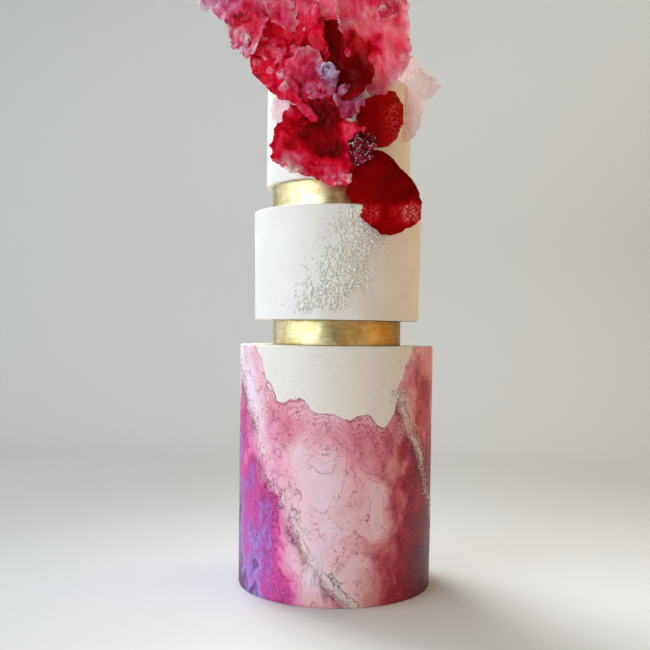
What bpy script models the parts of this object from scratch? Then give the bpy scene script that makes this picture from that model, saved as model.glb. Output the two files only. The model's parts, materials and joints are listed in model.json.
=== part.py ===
"""A three-tier wedding cake on gilded spacers, with a cascade of thin sugar sails over its top and front.

Metres, +Z up. The origin is the centre of the base, and the front of the cake faces -Y.
"""

import math
import random

import bmesh
import bpy
from mathutils import Vector, noise

MM = 0.001
GAP = 0.3 * MM

# Tiers and spacers: radius at the foot, radius at the top, height. They are stacked from z = 0 with GAP between.
BOTTOM_TIER = (101.0 * MM, 102.0 * MM, 250.0 * MM)
LOWER_SPACER = (67.8 * MM, 67.8 * MM, 25.0 * MM)
MIDDLE_TIER = (86.8 * MM, 88.8 * MM, 113.0 * MM)
UPPER_SPACER = (70.0 * MM, 70.0 * MM, 27.0 * MM)
TOP_TIER = (76.5 * MM, 76.5 * MM, 104.0 * MM)
ICING_EDGE = 1.4 * MM
SPACER_EDGE = 0.5 * MM
TURNED_STEPS = 64

SAIL_THICKNESS = 1.3 * MM
CUTTER_GROWTH = 0.6 * MM
CUP_REACH = 60.0 * MM
CRUMPLE_GRAIN = 17.0 * MM

# Grains of sugar on the middle tier: the band's middle line and half width, as (height, degrees, degrees).
PATCH_LINE = (
    (376 * MM, 4.0, 7.0),
    (366 * MM, 5.0, 11.0),
    (352 * MM, 5.0, 18.0),
    (335 * MM, 1.0, 17.0),
    (318 * MM, -9.0, 19.0),
    (302 * MM, -17.0, 15.0),
    (289 * MM, -18.0, 10.0),
)
PATCH_GRAINS = 58
PATCH_SEED = 11

# Sugar veins on the bottom tier, each as (height, degrees) points from the top down. Both run down to the right.
VEINS = (
    (
        (236 * MM, -86.0),
        (205 * MM, -66.0),
        (170 * MM, -52.0),
        (128 * MM, -44.0),
        (86 * MM, -25.0),
        (44 * MM, -15.0),
        (10 * MM, 3.0),
    ),
    (
        (196 * MM, 37.0),
        (168 * MM, 43.0),
        (138 * MM, 57.0),
        (104 * MM, 63.0),
        (72 * MM, 80.0),
        (34 * MM, 88.0),
        (8 * MM, 104.0),
    ),
)
VEIN_GRAINS = 18
VEIN_SEED = 23
VEIN_HALF_WIDTH = 5.0 * MM

# Colours as (red, green, blue), roughness, metallic.
WHITE_ICING = ((0.86, 0.85, 0.82), 0.55, 0.0)
PINK_MARBLE = ((0.78, 0.36, 0.50), 0.45, 0.0)
GOLD_LEAF = ((0.78, 0.58, 0.20), 0.32, 1.0)
CRIMSON_SUGAR = ((0.55, 0.01, 0.05), 0.2, 0.0)
RUBY_SUGAR = ((0.32, 0.0, 0.01), 0.18, 0.0)
ROSE_SUGAR = ((0.80, 0.22, 0.34), 0.25, 0.0)
LILAC_SUGAR = ((0.72, 0.40, 0.62), 0.3, 0.0)
BLUSH_SUGAR = ((0.85, 0.62, 0.62), 0.25, 0.0)

# Each sail: place of its middle in mm, turn (+ faces right), lean (+ top goes back) and roll in degrees, radii in mm
# at even steps from the right round by the top, cup in mm across and up at 60 mm from the middle (+ edges
# forward), twist in mm at 60 mm, waves round the rim and their depth in mm, crumple in mm, and cells along a side.
SAILS = {
    "crimson_sail": dict(
        at=(-58, -54, 560), turn=-22, lean=10, roll=0,
        radii=(49, 46, 48, 55, 68, 75, 66, 46, 38, 38, 45, 51, 64, 65, 59, 53),
        cup=(7, -4), twist=4, waves=(4, 5), crumple=5, cells=11, sugar=CRIMSON_SUGAR,
    ),
    "rose_sail": dict(
        at=(28, -66, 571), turn=18, lean=10, roll=0,
        radii=(43, 44, 52, 69, 71, 56, 45, 39, 36, 35, 37, 49, 72, 66, 54, 45),
        cup=(9, -3), twist=-3, waves=(4, 4), crumple=5, cells=11, sugar=ROSE_SUGAR,
    ),
    "ruby_blade": dict(
        at=(47, -84, 399), turn=6, lean=7, roll=0,
        radii=(32, 29, 29, 31, 40, 47, 41, 38, 40, 36, 34, 39, 41, 40, 40, 38),
        cup=(-4, 3), twist=3, waves=(3, 2), crumple=3, cells=11, sugar=RUBY_SUGAR,
    ),
    "ruby_shell": dict(
        at=(-14, -80, 446), turn=10, lean=2, roll=0,
        radii=(43, 40, 35, 41, 48, 51, 51, 50, 53, 54, 43, 36, 37, 42, 43, 37),
        cup=(8, 12), twist=6, waves=(5, 4), crumple=4, cells=11, sugar=CRIMSON_SUGAR,
    ),
    "deep_red_sail": dict(
        at=(-4, -76, 527), turn=-12, lean=12, roll=0,
        radii=(34, 33, 37, 46, 50, 42, 36, 33, 34, 38, 44, 42),
        cup=(6, 4), twist=0, waves=(3, 3), crumple=3, cells=7, sugar=RUBY_SUGAR,
    ),
    "pink_crest": dict(
        at=(-36, -50, 610), turn=-4, lean=12, roll=0,
        radii=(43, 43, 46, 51, 50, 46, 44, 46, 48, 48, 49, 47),
        cup=(-9, 6), twist=3, waves=(4, 4), crumple=4, cells=8, sugar=ROSE_SUGAR,
    ),
    "mauve_sail": dict(
        at=(-31, -83, 516), turn=-8, lean=6, roll=0,
        radii=(21, 18, 20, 27, 26, 25, 24, 24, 26, 26, 31, 32),
        cup=(10, 6), twist=4, waves=(4, 3), crumple=3, cells=8, sugar=LILAC_SUGAR,
    ),
    "blush_veil": dict(
        at=(72, -34, 510), turn=38, lean=-2, roll=0,
        radii=(26, 42, 37, 33, 35, 37, 35, 35, 42, 50, 62, 62, 44, 31, 26, 24),
        cup=(6, 6), twist=4, waves=(4, 4), crumple=4, cells=9, sugar=BLUSH_SUGAR,
    ),
    "ruby_disc": dict(
        at=(41, -70, 477), turn=24, lean=2, roll=0,
        radii=(25, 30, 34, 26, 23, 24, 26, 26, 27, 29, 26, 24),
        cup=(-18, -14), twist=0, waves=(3, 1.5), crumple=2, cells=8, sugar=RUBY_SUGAR,
    ),
    "lilac_frill": dict(
        at=(-106, -34, 599), turn=-22, lean=8, roll=0,
        radii=(30, 27, 28, 32, 38, 42, 43, 44, 40, 22, 19, 24, 46, 66, 52, 36),
        cup=(8, 4), twist=-4, waves=(5, 5), crumple=5, cells=10, sugar=LILAC_SUGAR,
    ),
    "pearl_veil": dict(
        at=(-61, -48.2, 490), turn=-51, lean=0, roll=0,
        radii=(23, 21, 16, 14, 17, 22, 19, 16, 14, 14, 17, 22),
        cup=(-22, 2), twist=0, waves=(3, 1), crumple=2, cells=6, sugar=BLUSH_SUGAR,
    ),
    "crimson_curl": dict(
        at=(47, -57, 605), turn=10, lean=8, roll=20,
        radii=(18, 23, 28, 24, 20, 17, 20, 23, 29, 24, 18, 17),
        cup=(-30, 10), twist=8, waves=(3, 3), crumple=4, cells=7, sugar=CRIMSON_SUGAR,
    ),
    "lavender_crumple": dict(
        at=(8, -89, 488), turn=8, lean=6, roll=0,
        radii=(13, 14, 15, 16, 16, 15, 14, 15, 17, 17, 14, 12),
        cup=(20, 10), twist=10, waves=(4, 3), crumple=4, cells=6, sugar=LILAC_SUGAR,
    ),
    "lavender_curl": dict(
        at=(-11, -88, 514), turn=5, lean=0, roll=10,
        radii=(10, 9, 10, 12, 13, 10, 9, 11, 14, 15, 12, 10),
        cup=(50, 20), twist=8, waves=(3, 2.5), crumple=3, cells=6, sugar=LILAC_SUGAR,
    ),
    "blush_sliver": dict(
        at=(-38, -87, 483), turn=-4, lean=0, roll=-43,
        radii=(23, 8, 5, 4, 5, 9, 21, 9, 5, 4, 4.5, 8),
        cup=(12, 10), twist=6, waves=(2, 0.5), crumple=1, cells=6, sugar=BLUSH_SUGAR,
    ),
    "sugared_fold": dict(
        at=(21, -84, 442), turn=0, lean=8, roll=-10,
        radii=(12, 15, 18, 16, 14, 14, 13, 14, 16, 17, 12, 11),
        cup=(50, 30), twist=10, waves=(4, 2.5), crumple=4, cells=6, sugar=ROSE_SUGAR,
    ),
}


def clear_scene():
    for obj in list(bpy.data.objects):
        bpy.data.objects.remove(obj)


def new_collection(name, hidden=False):
    collection = bpy.data.collections.new(name)
    bpy.context.scene.collection.children.link(collection)
    collection.hide_render = hidden
    return collection


def material(name, finish):
    colour, roughness, metallic = finish
    made = bpy.data.materials.get(name) or bpy.data.materials.new(name)
    made.use_nodes = True
    shader = made.node_tree.nodes["Principled BSDF"]
    shader.inputs["Base Color"].default_value = (*colour, 1.0)
    shader.inputs["Roughness"].default_value = roughness
    shader.inputs["Metallic"].default_value = metallic
    return made


def object_from(bm, name, collection, made_of=None):
    mesh = bpy.data.meshes.new(name)
    bm.to_mesh(mesh)
    bm.free()
    obj = bpy.data.objects.new(name, mesh)
    if made_of:
        obj.data.materials.append(made_of)
    collection.objects.link(obj)
    return obj


def evaluated_copy(obj):
    """The object's mesh with its modifiers, in world space."""
    graph = bpy.context.evaluated_depsgraph_get()
    mesh = bpy.data.meshes.new_from_object(obj.evaluated_get(graph))
    mesh.transform(obj.matrix_world)
    return mesh


def bake_modifiers(obj):
    """Puts the evaluated mesh in the object and takes its modifiers and placing away."""
    bpy.context.view_layer.update()
    mesh = evaluated_copy(obj)
    obj.modifiers.clear()
    obj.data = mesh
    obj.matrix_world.identity()


def keep_largest_island(mesh):
    """Drops the loose scraps that a cut leaves."""
    bm = bmesh.new()
    bm.from_mesh(mesh)
    bm.verts.ensure_lookup_table()
    unseen, islands = set(bm.verts), []
    while unseen:
        island, edge = set(), [unseen.pop()]
        while edge:
            vertex = edge.pop()
            island.add(vertex)
            for link in vertex.link_edges:
                other = link.other_vert(vertex)
                if other in unseen:
                    unseen.discard(other)
                    edge.append(other)
        islands.append(island)
    largest = max(islands, key=len)
    scraps = [v for v in bm.verts if v not in largest]
    bmesh.ops.delete(bm, geom=scraps, context="VERTS")
    bm.to_mesh(mesh)
    bm.free()


def boolean(obj, operation, other=None, collection=None, solver="EXACT"):
    modifier = obj.modifiers.new(operation.title(), "BOOLEAN")
    modifier.operation = operation
    modifier.solver = solver
    if collection:
        modifier.operand_type = "COLLECTION"
        modifier.collection = collection
    else:
        modifier.object = other
    return modifier


def turned_tier(name, size, foot_z, edge, made_of, collection):
    """A drum turned from its half section: foot and top radius, height, with a small round at both edges."""
    foot, top, height = size
    soft = edge * (1 - math.cos(math.radians(45)))
    profile = [
        (0.0, height),
        (top - edge, height),
        (top - soft, height - soft),
        (top, height - edge),
        (foot, edge),
        (foot - soft, soft),
        (foot - edge, 0.0),
        (0.0, 0.0),
    ]
    if edge < ICING_EDGE:
        del profile[5], profile[2]
    bm = bmesh.new()
    corners = [bm.verts.new((radius, 0.0, foot_z + z)) for radius, z in profile]
    for start, end in zip(corners, corners[1:]):
        bm.edges.new((start, end))
    drum = object_from(bm, name, collection, made_of)
    turn = drum.modifiers.new("Turn", "SCREW")
    turn.steps = turn.render_steps = TURNED_STEPS
    turn.use_smooth_shade = False
    turn.use_merge_vertices = True
    turn.merge_threshold = 0.05 * MM
    return drum


def between(points, z):
    """The values of a table of (height, value, ...) rows at height z, rows running from the top down."""
    for upper, lower in zip(points, points[1:]):
        if lower[0] <= z <= upper[0]:
            share = (z - lower[0]) / (upper[0] - lower[0])
            return [low + (high - low) * share for low, high in zip(lower[1:], upper[1:])]
    return list(points[-1][1:]) if z < points[-1][0] else list(points[0][1:])


def wall_point(size, foot_z, z, degrees):
    """A point on a tier's side, where 0 degrees is the front and + goes right, with the outward direction."""
    foot, top, height = size
    radius = foot + (top - foot) * (z - foot_z) / height
    angle = math.radians(degrees)
    outward = Vector((math.sin(angle), -math.cos(angle), 0.0))
    return outward * radius + Vector((0, 0, z)), outward


def grain(point, outward, width, depth, draw, collection):
    """One lump of sugar, sunk by half in the wall that it sits on."""
    bm = bmesh.new()
    bmesh.ops.create_icosphere(bm, subdivisions=1, radius=1.0)
    lump = object_from(bm, "grain", collection)
    lump.scale = (width, depth, width * draw.uniform(0.7, 1.2))
    lump.location = point - outward * depth * 0.25
    lump.rotation_euler = (0, 0, math.atan2(outward.x, -outward.y))
    lump.rotation_euler.rotate_axis("Y", draw.uniform(0, math.pi))
    return lump


def clear_of(point, taken, distance):
    return all((point - other).length > distance for other in taken)


def patch_grains(foot_z, collection):
    """Lumps over the slanting patch of the middle tier, spread evenly and clear of each other."""
    draw, taken = random.Random(PATCH_SEED), []
    high, low = PATCH_LINE[0][0], PATCH_LINE[-1][0]
    tries = 0
    while len(taken) < PATCH_GRAINS and tries < 4000:
        tries += 1
        z = draw.uniform(low, high)
        middle, half = between(PATCH_LINE, z)
        degrees = middle + half * draw.uniform(-1, 1)
        point, outward = wall_point(MIDDLE_TIER, foot_z, z, degrees)
        if clear_of(point, taken, 5.2 * MM):
            taken.append(point)
            grain(point, outward, draw.uniform(1.5, 2.5) * MM, draw.uniform(0.9, 1.5) * MM, draw, collection)


def vein_grains(foot_z, collection):
    """Lumps along the two veins of the bottom tier."""
    draw, taken = random.Random(VEIN_SEED), []
    for vein in VEINS:
        placed = 0
        for _ in range(2000):
            if placed == VEIN_GRAINS:
                break
            z = draw.uniform(vein[-1][0], vein[0][0])
            degrees = between(vein, z)[0] + math.degrees(draw.gauss(0, VEIN_HALF_WIDTH) / BOTTOM_TIER[0])
            point, outward = wall_point(BOTTOM_TIER, foot_z, z, degrees)
            if clear_of(point, taken, 5.0 * MM):
                taken.append(point)
                placed += 1
                grain(point, outward, draw.uniform(1.4, 2.4) * MM, draw.uniform(0.7, 1.2) * MM, draw, collection)


def fuse(drum, collection):
    """Joins the grains to their tier, and takes the loose ones away."""
    bpy.context.view_layer.update()
    boolean(drum, "UNION", collection=collection, solver="MANIFOLD")
    bake_modifiers(drum)
    for lump in list(collection.objects):
        bpy.data.objects.remove(lump)
    bpy.data.collections.remove(collection)


def rim_radius(radii, angle):
    """The outline's radius at an angle, from radii at even steps round it, by a smooth curve through them."""
    place = (angle / math.tau * len(radii)) % len(radii)
    i = int(place)
    t = place - i
    a, b, c, d = (radii[(i + k) % len(radii)] for k in (-1, 0, 1, 2))
    return b + 0.5 * t * (c - a + t * (2 * a - 5 * b + 4 * c - d + t * (3 * (b - c) + d - a)))


def sail_sheet(name, spec):
    """The sail's middle surface as a triangulated sheet. Its own axes: X right, Z up, -Y towards the viewer."""
    bm = bmesh.new()
    bmesh.ops.create_grid(bm, x_segments=spec["cells"], y_segments=spec["cells"], size=1.0)
    seed = sum(ord(letter) for letter in name)
    across, up = spec["cup"]
    count, depth = spec["waves"]
    for vertex in bm.verts:
        s, t = vertex.co.x, vertex.co.y
        x = s * math.sqrt(1 - t * t / 2)
        z = t * math.sqrt(1 - s * s / 2)
        share = math.hypot(x, z)
        angle = math.atan2(z, x)
        reach = rim_radius(spec["radii"], angle) * MM
        jag = noise.noise(Vector((math.cos(angle), math.sin(angle), seed)) * 4.0)
        reach *= 1 + 0.10 * jag * share**4
        x, z = x * reach, z * reach
        forward = (across * (x / CUP_REACH) ** 2 + up * (z / CUP_REACH) ** 2) * MM
        forward += spec["twist"] * MM * x * z / CUP_REACH**2
        forward += depth * MM * share**3 * math.sin(count * angle + seed)
        grain_place = Vector((x / CRUMPLE_GRAIN, z / CRUMPLE_GRAIN, seed * 1.7))
        forward += spec["crumple"] * MM * noise.noise(grain_place) * (0.4 + 0.6 * share)
        vertex.co = (x, -forward, z)
    bmesh.ops.triangulate(bm, faces=bm.faces, quad_method="SHORT_EDGE")
    return bm


def sail(name, spec, cutters, collection, helpers):
    """A thin wavy sail, trimmed where it meets what was placed before it."""
    obj = object_from(sail_sheet(name, spec), name, collection, material(name, spec["sugar"]))
    obj.rotation_mode = "YXZ"
    obj.rotation_euler = [math.radians(a) for a in (-spec["lean"], -spec["roll"], spec["turn"])]
    obj.location = Vector(spec["at"]) * MM
    thicken = obj.modifiers.new("Thicken", "SOLIDIFY")
    thicken.thickness = SAIL_THICKNESS
    thicken.offset = 0.0
    for cutter in cutters:
        if boxes_meet(obj, cutter):
            boolean(obj, "DIFFERENCE", cutter)
    bake_modifiers(obj)
    keep_largest_island(obj.data)
    return grown(obj, helpers)


def world_box(obj):
    bpy.context.view_layer.update()
    corners = [obj.matrix_world @ Vector(c) for c in obj.bound_box]
    return [(min(c[i] for c in corners), max(c[i] for c in corners)) for i in range(3)]


def boxes_meet(a, b):
    margin = 2 * MM
    return all(p[0] - margin < q[1] and q[0] - margin < p[1] for p, q in zip(world_box(a), world_box(b)))


def grown(obj, helpers):
    """A cutter a little larger than the object all over, so that what it trims stays just clear."""
    cutter = bpy.data.objects.new(obj.name + "_cutter", obj.data.copy())
    helpers.objects.link(cutter)
    cutter.display_type = "WIRE"
    cutter.hide_render = True
    swell = cutter.modifiers.new("Swell", "DISPLACE")
    swell.mid_level = 0.0
    swell.strength = CUTTER_GROWTH
    bake_modifiers(cutter)
    return cutter


def drum_cutter(name, size, foot_z, helpers):
    """A plain drum a little larger than a tier, for trimming what meets that tier."""
    foot, top, height = size
    wider = (foot + CUTTER_GROWTH, top + CUTTER_GROWTH, height + 2 * CUTTER_GROWTH)
    cutter = turned_tier(name + "_cutter", wider, foot_z - CUTTER_GROWTH, ICING_EDGE, None, helpers)
    cutter.display_type = "WIRE"
    cutter.hide_render = True
    bake_modifiers(cutter)
    return cutter


GRAINED = {"bottom_tier": vein_grains, "middle_tier": patch_grains}


def build():
    clear_scene()
    cake = new_collection("tiered_wedding_cake")
    helpers = new_collection("cutters", hidden=True)
    icing = material("white_icing", WHITE_ICING)
    marble = material("pink_marbled_icing", PINK_MARBLE)
    gold = material("gold_leaf", GOLD_LEAF)
    stack = (
        ("bottom_tier", BOTTOM_TIER, ICING_EDGE, marble),
        ("lower_spacer", LOWER_SPACER, SPACER_EDGE, gold),
        ("middle_tier", MIDDLE_TIER, ICING_EDGE, icing),
        ("upper_spacer", UPPER_SPACER, SPACER_EDGE, gold),
        ("top_tier", TOP_TIER, ICING_EDGE, icing),
    )
    foot_z, cutters = 0.0, []
    for name, size, edge, finish in stack:
        drum = turned_tier(name, size, foot_z, edge, finish, cake)
        if name in GRAINED:
            grains = new_collection("grains")
            GRAINED[name](foot_z, grains)
            fuse(drum, grains)
        cutters.append(drum_cutter(name, size, foot_z, helpers))
        foot_z += size[2] + GAP
    for name, spec in SAILS.items():
        cutters.append(sail(name, spec, cutters, cake, helpers))


build()
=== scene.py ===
"""Dresses the tiered wedding cake: iced tiers, poured marbling, gold leaf, sugar grains and sugar sails."""

import functools
import json
import math
import random

import bmesh
import bpy
import numpy as np
from mathutils import Matrix, Vector, kdtree, noise


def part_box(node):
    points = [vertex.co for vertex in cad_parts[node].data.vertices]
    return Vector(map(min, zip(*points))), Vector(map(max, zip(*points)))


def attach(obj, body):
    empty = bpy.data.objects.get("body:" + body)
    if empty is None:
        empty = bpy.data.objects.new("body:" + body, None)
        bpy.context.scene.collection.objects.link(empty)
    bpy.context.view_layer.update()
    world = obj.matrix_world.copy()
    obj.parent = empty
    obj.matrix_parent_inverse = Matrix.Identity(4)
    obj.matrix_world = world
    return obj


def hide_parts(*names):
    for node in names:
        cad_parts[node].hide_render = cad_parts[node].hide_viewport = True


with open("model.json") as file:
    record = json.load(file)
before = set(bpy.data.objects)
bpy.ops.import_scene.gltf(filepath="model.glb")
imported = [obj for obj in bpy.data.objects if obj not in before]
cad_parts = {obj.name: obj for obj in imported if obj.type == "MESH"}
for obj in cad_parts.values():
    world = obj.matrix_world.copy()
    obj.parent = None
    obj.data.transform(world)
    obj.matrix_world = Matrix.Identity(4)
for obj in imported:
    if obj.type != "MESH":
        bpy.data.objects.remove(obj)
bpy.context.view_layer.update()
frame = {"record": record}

MM = 0.001
FRONT = -math.pi / 2
FULL_TURN = 6.28
noise.seed_set(3)


def hex_colour(code):
    """An sRGB hex colour as linear light."""
    channels = [int(code[i:i + 2], 16) / 255 for i in (1, 3, 5)]
    linear = [c / 12.92 if c <= 0.04045 else ((c + 0.055) / 1.055) ** 2.4 for c in channels]
    return (*linear, 1.0)


def node(tree, kind, inputs=None, stops=None, **settings):
    """Adds a shader node. inputs gives each socket a value, or the node or output that is linked to it, and
    stops fills a colour ramp."""
    made = tree.nodes.new("ShaderNode" + kind)
    for name, value in settings.items():
        setattr(made, name, value)
    if stops:
        elements = made.color_ramp.elements
        while len(elements) < len(stops):
            elements.new(0.5)
        for element, (place, code) in zip(elements, stops):
            element.position = place
            element.color = hex_colour(code) if isinstance(code, str) else (code, code, code, 1.0)
    for socket, value in (inputs or {}).items():
        target = made.inputs[socket]
        if isinstance(value, bpy.types.Node):
            value = value.outputs[0]
        if isinstance(value, bpy.types.NodeSocket):
            tree.links.new(value, target)
        else:
            target.default_value = value
    return made


def new_material(name):
    """An empty material, and the function above bound to its nodes."""
    made = bpy.data.materials.new(name)
    made.use_nodes = True
    made.node_tree.nodes.clear()
    return made, functools.partial(node, made.node_tree)


def white_fondant():
    """Rolled fondant: sugar paste smoothed by hand, so a soft satin white with faint smoothing marks."""
    made, add = new_material("white_fondant")
    place = add("TexCoord").outputs["Object"]
    marks = add("TexNoise", {"Vector": place, "Scale": 1 / (28 * MM), "Detail": 3.0, "Roughness": 0.45})
    grain = add("TexNoise", {"Vector": place, "Scale": 1 / (1.6 * MM), "Detail": 2.0})
    soft = add("Bump", {"Height": marks, "Distance": 0.35 * MM, "Strength": 0.5})
    surface = add("BsdfPrincipled", {
        "Base Color": add("ValToRGB", {"Fac": marks}, stops=[(0.3, "#EEECE8"), (0.7, "#F4F3F0")]),
        "Roughness": add("MapRange", {0: marks, 3: 0.42, 4: 0.58}),
        "Normal": add("Bump", {"Height": grain, "Distance": 0.05 * MM, "Strength": 0.5, "Normal": soft}),
        "IOR": 1.46,
        "Subsurface Weight": 0.12,
        "Subsurface Radius": (1.0, 0.8, 0.6),
        "Subsurface Scale": 2.5 * MM,
    })
    add("OutputMaterial", {"Surface": surface})
    return made


def gold_leaf():
    """Gold leaf laid in small squares on a foam drum: real metal, pale and burnished, with seams, faint brush
    streaks round the drum, brown wear where the leaf is thin, and painted shade darkening its right side."""
    made, add = new_material("burnished_gold_leaf")
    place = add("TexCoord").outputs["Object"]
    around = add("Mapping", {"Vector": place, "Scale": (1.0, 1.0, 5.0)})
    streaks = add("TexNoise", {"Vector": around, "Scale": 1 / (14 * MM), "Detail": 5.0, "Roughness": 0.62})
    squares = add("TexVoronoi", {"Vector": place, "Scale": 1 / (13 * MM), "Randomness": 0.8}, feature="F1",
                  distance="CHEBYCHEV").outputs["Color"]
    patches = add("TexNoise", {"Vector": place, "Scale": 1 / (17 * MM), "Detail": 4.0, "Roughness": 0.6,
                               "Distortion": 0.6})
    leaf = add("ValToRGB", {"Fac": squares}, stops=[(0.15, "#D8CC94"), (0.5, "#E6DEB2"), (0.85, "#F0EBCB")])
    brushed = add("ValToRGB", {"Fac": streaks}, stops=[(0.35, "#D2B876"), (0.65, "#FFFBEA")])
    colour = add("MixRGB", {0: 0.45, 1: leaf, 2: brushed}, blend_type="MULTIPLY")
    # Worn patches gather on the right, the side in shade, so there they are partly painted shade; beyond that
    # the right side is darkened to a dull brown as painted shade, and made rougher.
    across = add("SeparateXYZ", {"Vector": place}).outputs["X"]
    shaded_side_bias = add("MapRange", {0: across, 1: -30 * MM, 2: 30 * MM, 3: -0.14, 4: 0.07})
    thin = add("Math", {0: patches, 1: shaded_side_bias}, operation="ADD")
    worn_and_shaded = add("ValToRGB", {"Fac": thin}, stops=[(0.44, 0.0), (0.72, 0.8)])
    colour = add("MixRGB", {0: worn_and_shaded, 1: colour, 2: hex_colour("#D8A040")})
    # Painted shade: the right side is darkened towards brown.
    shaded_and_dulled_right = add("MapRange", {0: across, 1: 30 * MM, 2: 60 * MM, 4: 0.85})
    colour = add("MixRGB", {0: shaded_and_dulled_right, 1: colour, 2: hex_colour("#A09060")}, blend_type="MULTIPLY")
    rough = add("MapRange", {0: squares, 3: 0.31, 4: 0.42})
    dents = add("Bump", {"Height": streaks, "Distance": 0.18 * MM, "Strength": 0.5})
    surface = add("BsdfPrincipled", {
        "Base Color": colour,
        "Metallic": 1.0,
        "Roughness": add("Math", {0: shaded_and_dulled_right, 1: 0.12, 2: rough}, operation="MULTIPLY_ADD"),
        "Normal": add("Bump", {"Height": patches, "Distance": 0.6 * MM, "Strength": 0.5, "Normal": dents}),
    })
    add("OutputMaterial", {"Surface": surface})
    return made


def mesh_object(name, vertices, faces, material, smooth=True):
    """A new mesh of one material."""
    mesh = bpy.data.meshes.new(name)
    mesh.from_pydata(vertices, [], faces)
    mesh.update()
    if smooth:
        mesh.shade_smooth()
    mesh.materials.append(material)
    obj = bpy.data.objects.new(name, mesh)
    bpy.context.scene.collection.objects.link(obj)
    return obj


def dress(obj, *nodes, slot=None):
    """Says that a piece rides with the cake and stands for these nodes."""
    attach(obj, "root")
    if nodes:
        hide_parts(*nodes)


def drum_rows(low, high, foot, top, edge, spacing):
    """The half section of a drum as (radius, height) rows, from the middle of its top to that of its foot."""
    rows = [(0.0, high)]
    rings = max(3, int((top - edge) / (4 * spacing)))
    rows += [((top - edge) * k / rings, high) for k in range(1, rings + 1)]
    turns = [math.radians(a) for a in (22.5, 45, 67.5, 90)]
    rows += [(top - edge + edge * math.sin(a), high - edge + edge * math.cos(a)) for a in turns]
    steps = max(2, int((high - low - 2 * edge) / spacing))
    for k in range(1, steps + 1):
        share = k / steps
        rows.append((top + (foot - top) * share, high - edge - (high - low - 2 * edge) * share))
    rows += [(foot - edge + edge * math.cos(a), low + edge - edge * math.sin(a)) for a in turns]
    rows += [((foot - edge) * k / rings, low) for k in range(rings - 1, 0, -1)]
    rows.append((0.0, low))
    return rows


def turned(name, rows, segments, material, waver=None):
    """A turned drum. waver gives the change of radius at (angle, height)."""
    vertices, faces = [(0.0, 0.0, rows[0][1])], []
    for radius, z in rows[1:-1]:
        for k in range(segments):
            angle = FRONT + math.tau * k / segments
            r = radius + (waver(angle, z) * min(1.0, radius / (30 * MM)) if waver else 0.0)
            vertices.append((r * math.cos(angle), r * math.sin(angle), z))
    vertices.append((0.0, 0.0, rows[-1][1]))
    last = len(vertices) - 1
    for k in range(segments):
        faces.append((0, 1 + k, 1 + (k + 1) % segments))
    for row in range(len(rows) - 3):
        a, b = 1 + row * segments, 1 + (row + 1) * segments
        for k in range(segments):
            n = (k + 1) % segments
            faces.append((a + k, b + k, b + n, a + n))
    a = 1 + (len(rows) - 3) * segments
    for k in range(segments):
        faces.append((a + k, last, a + (k + 1) % segments))
    return mesh_object(name, vertices, faces, material)


def hand_waver(seed, depth):
    """How far hand-smoothed icing strays from a true drum."""
    def waver(angle, z):
        place = Vector((math.cos(angle) * 1.6, math.sin(angle) * 1.6, z / (55 * MM) + seed))
        return depth * noise.noise(place)
    return waver


TIER_RADII = {
    "bottom_tier": (101.0 * MM, 102.0 * MM),
    "lower_spacer": (67.8 * MM, 67.8 * MM),
    "middle_tier": (86.8 * MM, 88.8 * MM),
    "upper_spacer": (70.0 * MM, 70.0 * MM),
    "top_tier": (76.5 * MM, 76.5 * MM),
}
TIER_HEIGHTS = {name: (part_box(name)[0].z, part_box(name)[1].z) for name in TIER_RADII}
# The rounded edge, the unevenness, and for the painted tier a finer mesh that can carry its painting.
ICING_EDGE, LEAF_EDGE = 1.4 * MM, 0.5 * MM
ICING_WAVER, LEAF_WAVER = 0.25 * MM, 0.12 * MM
PAINTED_SPACING, PLAIN_SPACING = 2.0 * MM, 4.0 * MM
PAINTED_SEGMENTS, PLAIN_SEGMENTS = 320, 192


def make_tiers(fondant, gold, marble):
    """The iced tiers and the gilded drums between them."""
    for seed, (name, (foot, top)) in enumerate(TIER_RADII.items()):
        low, high = TIER_HEIGHTS[name]
        iced, painted = "tier" in name, name == "bottom_tier"
        rows = drum_rows(low, high, foot, top, ICING_EDGE if iced else LEAF_EDGE,
                         PAINTED_SPACING if painted else PLAIN_SPACING)
        drum = turned(name + "_iced" if iced else name + "_gilded", rows,
                      PAINTED_SEGMENTS if painted else PLAIN_SEGMENTS,
                      marble if painted else fondant if iced else gold,
                      hand_waver(seed * 7.3, ICING_WAVER if iced else LEAF_WAVER))
        dress(drum, name, slot=frame_slot(name))
        if painted:
            ink_attributes(drum)


def frame_slot(name):
    """The material slot that the frame gives a node."""
    for part in frame["record"]["subparts"]:
        if part["node"] == name:
            return part["material_slot"]
    return None


# Round the bottom tier, in mm and in degrees from the front: the lower edge of the white window as (degrees,
# height), and the veins as (height, degrees). Distances along the wall are measured at one radius.
WALL_RADIUS = 102.0
WINDOW_EDGE = (
    (-180, 196), (-160, 168), (-140, 190), (-118, 236), (-104, 262), (-92, 244), (-84, 214), (-76, 236),
    (-66, 262), (-56, 262), (-48, 240), (-42, 214), (-34, 196), (-22, 199), (-10, 188), (4, 180), (16, 184),
    (27, 170), (33, 184), (37, 214), (43, 236), (50, 252), (58, 258), (72, 262), (90, 258), (104, 232),
    (120, 208), (140, 226), (160, 214), (180, 196),
)
VEINS = (
    ((250, -98), (236, -86), (205, -66), (170, -52), (128, -44), (86, -25), (44, -15), (10, 3), (0, 8)),
    ((206, 35), (196, 37), (168, 43), (138, 57), (104, 63), (72, 80), (34, 88), (8, 104), (0, 108)),
    ((220, 150), (180, 142), (150, 150), (110, 138), (60, 148), (0, 140)),
    ((190, -150), (150, -140), (120, -146), (70, -128), (30, -132), (0, -124)),
)


def table_value(table, x):
    """Reads a table of (place, value) rows by a smooth step between them."""
    for (x0, y0), (x1, y1) in zip(table, table[1:]):
        if x0 <= x <= x1:
            t = (x - x0) / (x1 - x0)
            return y0 + (y1 - y0) * t * t * (3 - 2 * t)
    return table[0][1] if x < table[0][0] else table[-1][1]


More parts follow.
